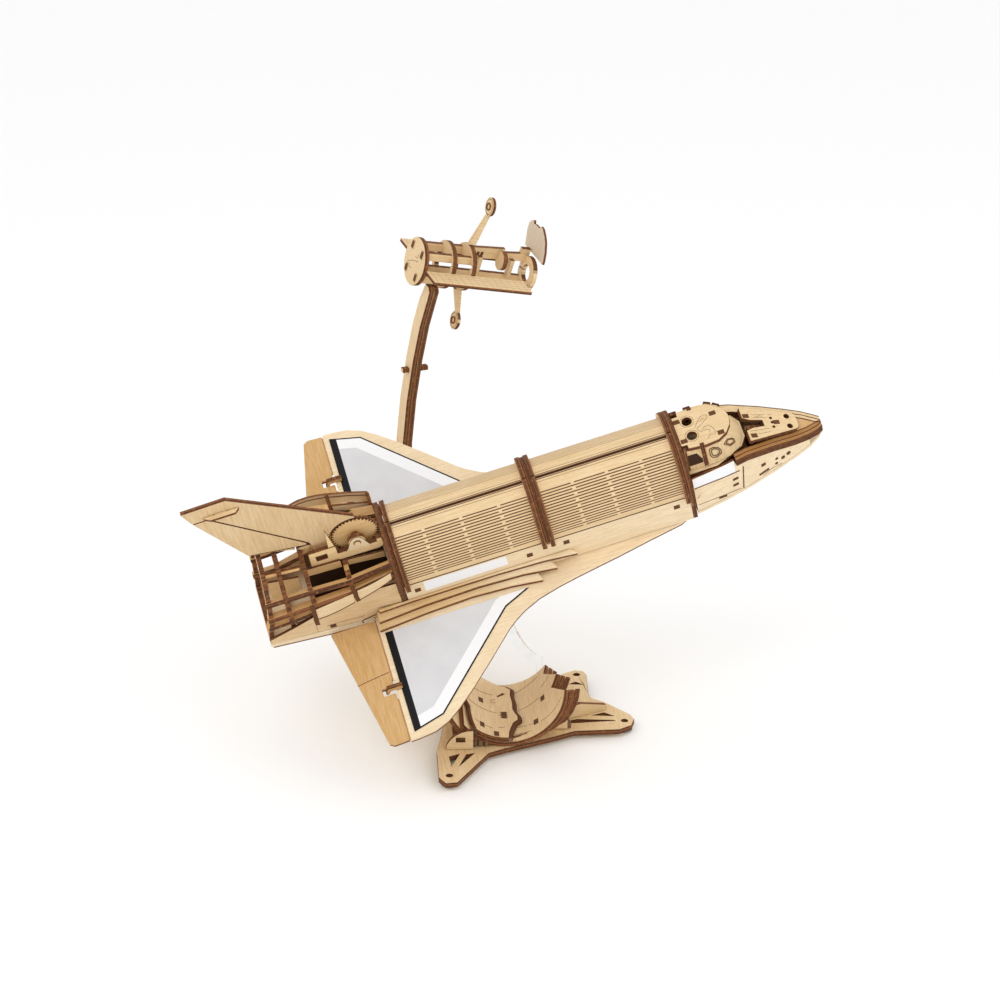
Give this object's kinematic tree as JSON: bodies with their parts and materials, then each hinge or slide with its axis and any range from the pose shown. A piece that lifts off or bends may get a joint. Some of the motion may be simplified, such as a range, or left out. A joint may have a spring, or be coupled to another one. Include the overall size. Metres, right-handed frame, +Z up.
{
  "type": "wooden model space shuttle on a display stand",
  "caption": "Laser-cut plywood model of a space shuttle orbiter, banked on a curved display stand, with a satellite on an arm behind it; bay doors, elevons and rudder move.",
  "frame": {"origin": "centre of the bounding box at the floor under the rubber feet", "axes": "+X towards the orbiter's nose in plan, +Y towards the satellite's arm, +Z up"},
  "size_m": [0.4148, 0.2158, 0.3406],
  "materials": {
    "birch_plywood": "satin birch plywood with brown laser-cut edges",
    "grey_film": "thin grey printed film with a white band and a black edge stripe",
    "clear_acrylic": "clear polished sheet",
    "clear_rubber": "clear soft rubber"
  },
  "bodies": {
    "display": {"aft_cage": "birch_plywood", "aft_floor": "birch_plywood", "aft_side_left": "birch_plywood", "aft_side_right": "birch_plywood", "bay_side_left": "birch_plywood", "bay_side_right": "birch_plywood", "belly_plate": "birch_plywood", "cabin_roof": "birch_plywood", "cabin_shelf": "birch_plywood", "cabin_windows": "birch_plywood", "dish_lower": "birch_plywood", "dish_upper": "birch_plywood", "elevon_hook_left": "birch_plywood", "elevon_hook_right": "birch_plywood", "fin": "birch_plywood", "fin_clip": "birch_plywood", "front_bulkhead": "birch_plywood", "globe_bracket_left": "birch_plywood", "globe_bracket_right": "birch_plywood", "globe_edge_inner": "birch_plywood", "globe_edge_left": "birch_plywood", "globe_edge_outer": "birch_plywood", "globe_land": "birch_plywood", "globe_shell": "birch_plywood", "nose_cage": "birch_plywood", "nose_deck": "birch_plywood", "nose_floor": "birch_plywood", "nose_rail_left": "birch_plywood", "nose_rail_right": "birch_plywood", "nose_side_left": "birch_plywood", "nose_side_right": "birch_plywood", "orbiter_arm": "clear_acrylic", "rear_bulkhead": "birch_plywood", "satellite_arm": "birch_plywood", "satellite_frame": "birch_plywood", "solar_panel_left": "birch_plywood", "solar_panel_right": "birch_plywood", "stand_base": "birch_plywood", "stand_foot_1": "clear_rubber", "stand_foot_2": "clear_rubber", "stand_foot_3": "clear_rubber", "stand_foot_4": "clear_rubber", "stand_rib": "birch_plywood", "wheel_mount": "birch_plywood", "wing_film_left": "grey_film", "wing_film_right": "grey_film", "wing_left": "birch_plywood", "wing_right": "birch_plywood", "wing_root_steps_left": "birch_plywood", "wing_root_steps_right": "birch_plywood"},
    "thumb_wheel": {"thumb_wheel": "birch_plywood"},
    "bay_door_left": {"rear_door_left": "birch_plywood", "front_door_left": "birch_plywood"},
    "bay_door_right": {"rear_door_right": "birch_plywood", "front_door_right": "birch_plywood"},
    "elevon_left": {"elevon_left": "birch_plywood"},
    "elevon_right": {"elevon_right": "birch_plywood"},
    "rudder": {"rudder": "birch_plywood"},
    "aperture_door": {"aperture_door": "birch_plywood"}
  },
  "joints": [
    {"name": "thumb_wheel_turn", "type": "hinge", "parent": "display", "child": "thumb_wheel", "pos_m": [-0.09673, -0.03057, 0.15514], "axis": [-0.142, 0.8643, 0.4826], "range_deg": [0, 110]},
    {"name": "bay_door_left_swing", "type": "hinge", "parent": "display", "child": "bay_door_left", "pos_m": [-0.07486, 0.01386, 0.14812], "axis": [-0.9593, 0, -0.2823], "range_deg": [0, 110]},
    {"name": "bay_door_right_swing", "type": "hinge", "parent": "display", "child": "bay_door_right", "pos_m": [-0.0658, -0.04129, 0.11733], "axis": [0.9593, 0, 0.2823], "range_deg": [0, 110]},
    {"name": "elevon_left_swing", "type": "hinge", "parent": "display", "child": "elevon_left", "pos_m": [-0.08881, -0.00038, 0.10342], "axis": [-0.142, 0.8643, 0.4826], "range_deg": [-20, 20]},
    {"name": "elevon_right_swing", "type": "hinge", "parent": "display", "child": "elevon_right", "pos_m": [-0.08881, -0.00038, 0.10342], "axis": [-0.142, 0.8643, 0.4826], "range_deg": [-20, 20]},
    {"name": "rudder_swing", "type": "hinge", "parent": "display", "child": "rudder", "pos_m": [-0.12673, -0.03328, 0.15117], "axis": [-0.8357, -0.366, 0.4095], "range_deg": [-25, 25]},
    {"name": "aperture_door_swing", "type": "hinge", "parent": "display", "child": "aperture_door", "pos_m": [0.03426, 0.07826, 0.29465], "axis": [-0.2364, 0.9599, 0.1506], "range_deg": [0, 175]}
  ],
  "couplings": [
    {"joint": "bay_door_left_swing", "follows": "thumb_wheel_turn", "ratio": 1},
    {"joint": "bay_door_right_swing", "follows": "thumb_wheel_turn", "ratio": 1}
  ]
}
